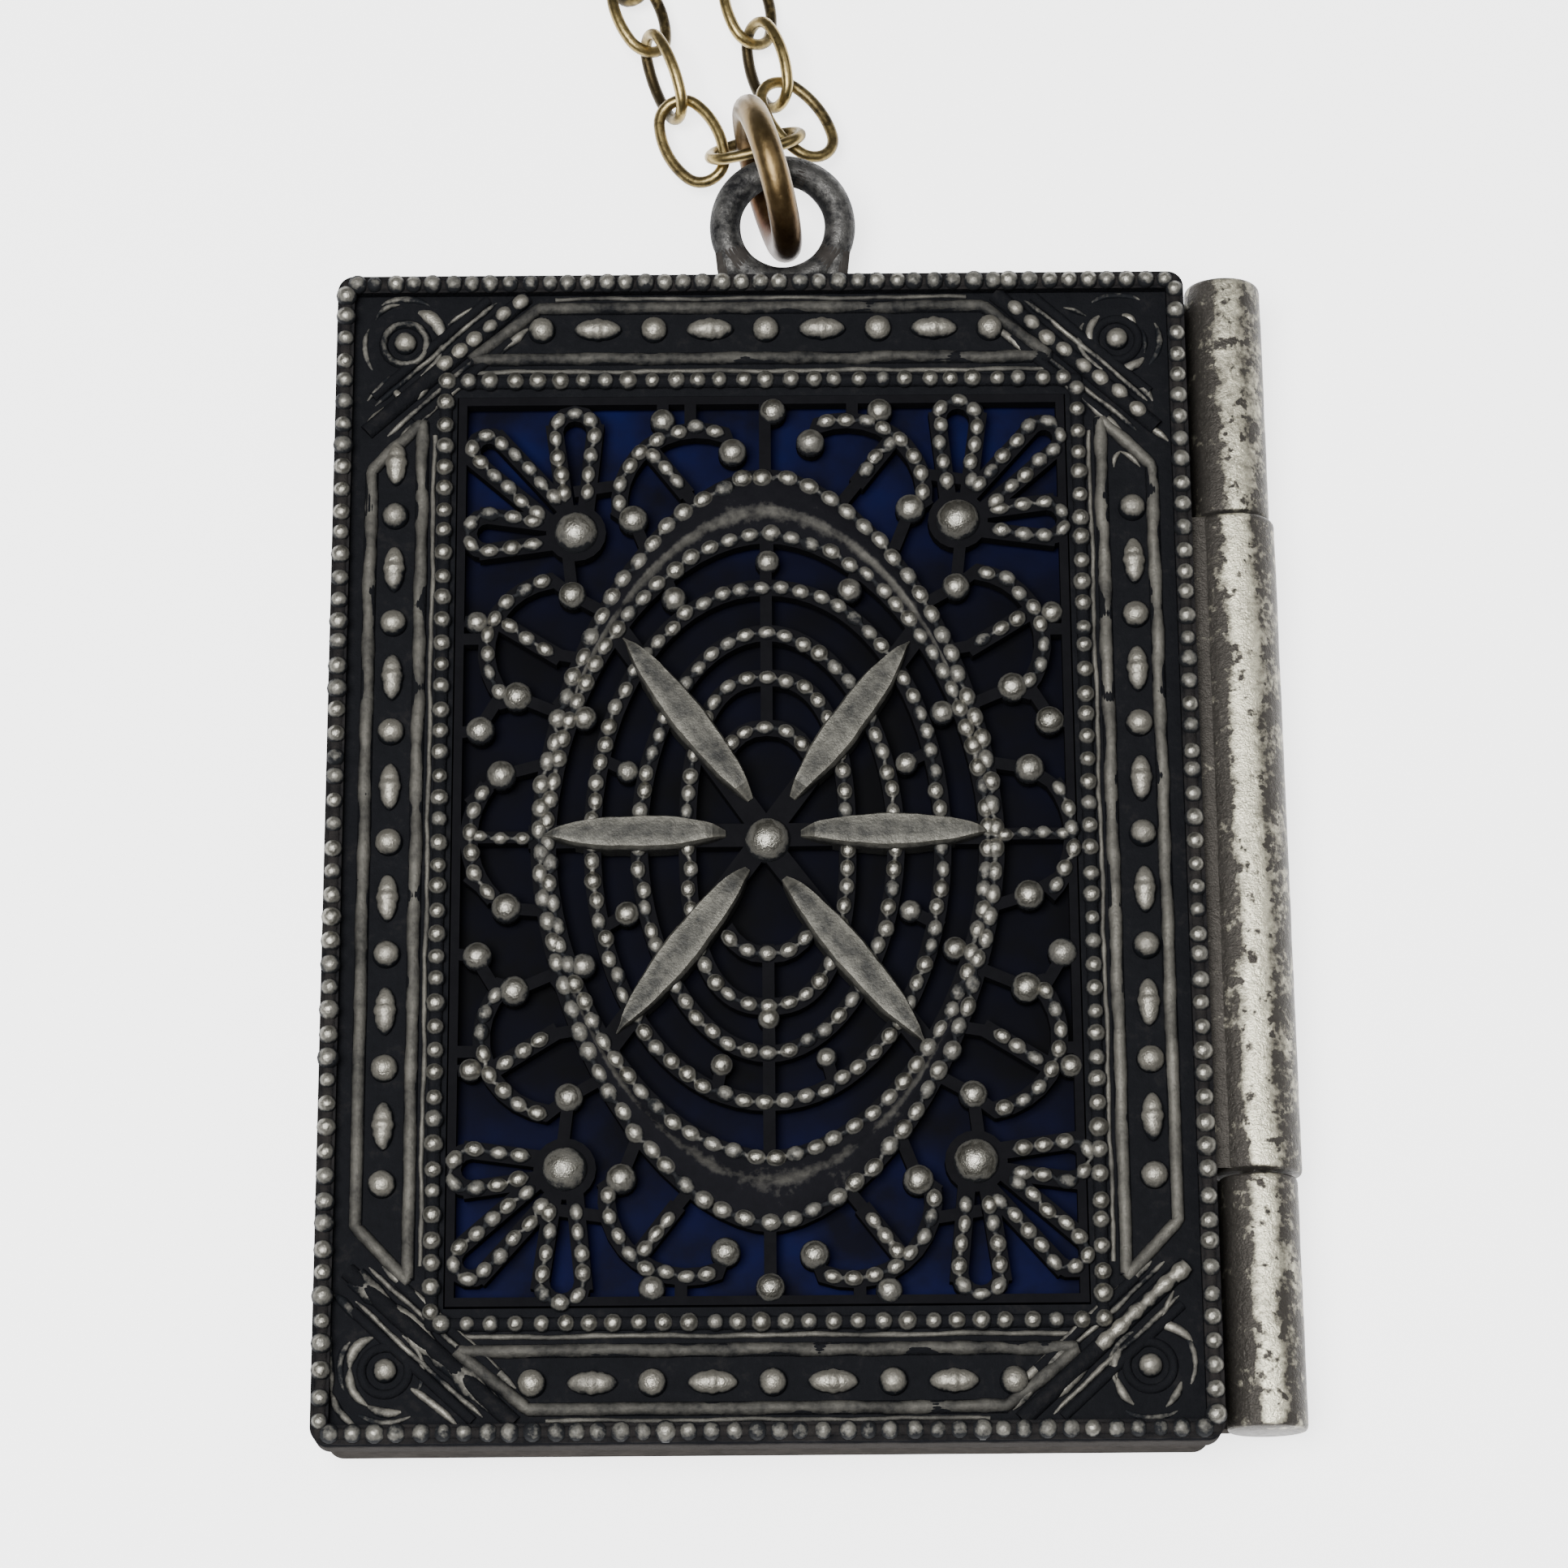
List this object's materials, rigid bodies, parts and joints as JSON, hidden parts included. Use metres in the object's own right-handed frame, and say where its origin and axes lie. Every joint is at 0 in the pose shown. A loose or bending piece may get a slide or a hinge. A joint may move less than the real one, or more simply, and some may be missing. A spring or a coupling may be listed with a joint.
{
  "type": "photo locket",
  "caption": "Flat book-shaped photo locket with a pierced filigree front over a blue sheet, a hinged spine, a bail, a jump ring and a cable neck chain.",
  "frame": {"origin": "centre of the locket's flat back face, on the surface it rests on", "axes": "+X across the cover toward the hinged spine, +Y along the cover toward the bail and chain, +Z out of the filigree front"},
  "size_m": [0.0927, 0.2376, 0.0055],
  "materials": {
    "oxidised_silver": "oxidised silver, worn bright on raised edges",
    "filigree_silver": "oxidised silver, polished on beads and blades",
    "blue_sheet": "deep royal blue, satin",
    "pin_silver": "plain silver",
    "ring_brass": "brown tarnished brass, glossy",
    "chain_brass": "dull antique brass"
  },
  "bodies": {
    "back": {"back_cover": "oxidised_silver", "hinge_pin": "pin_silver", "jump_ring": "ring_brass", "chain": "chain_brass", "clasp": "chain_brass"},
    "front": {"front_cover": "oxidised_silver", "filigree_panel": "filigree_silver", "blue_sheet": "blue_sheet"}
  },
  "joints": [
    {"name": "cover_hinge", "type": "hinge", "parent": "back", "child": "front", "pos_m": [0.0145, 0, 0.0022], "axis": [0, 1, 0], "range_deg": [0, 175]}
  ]
}
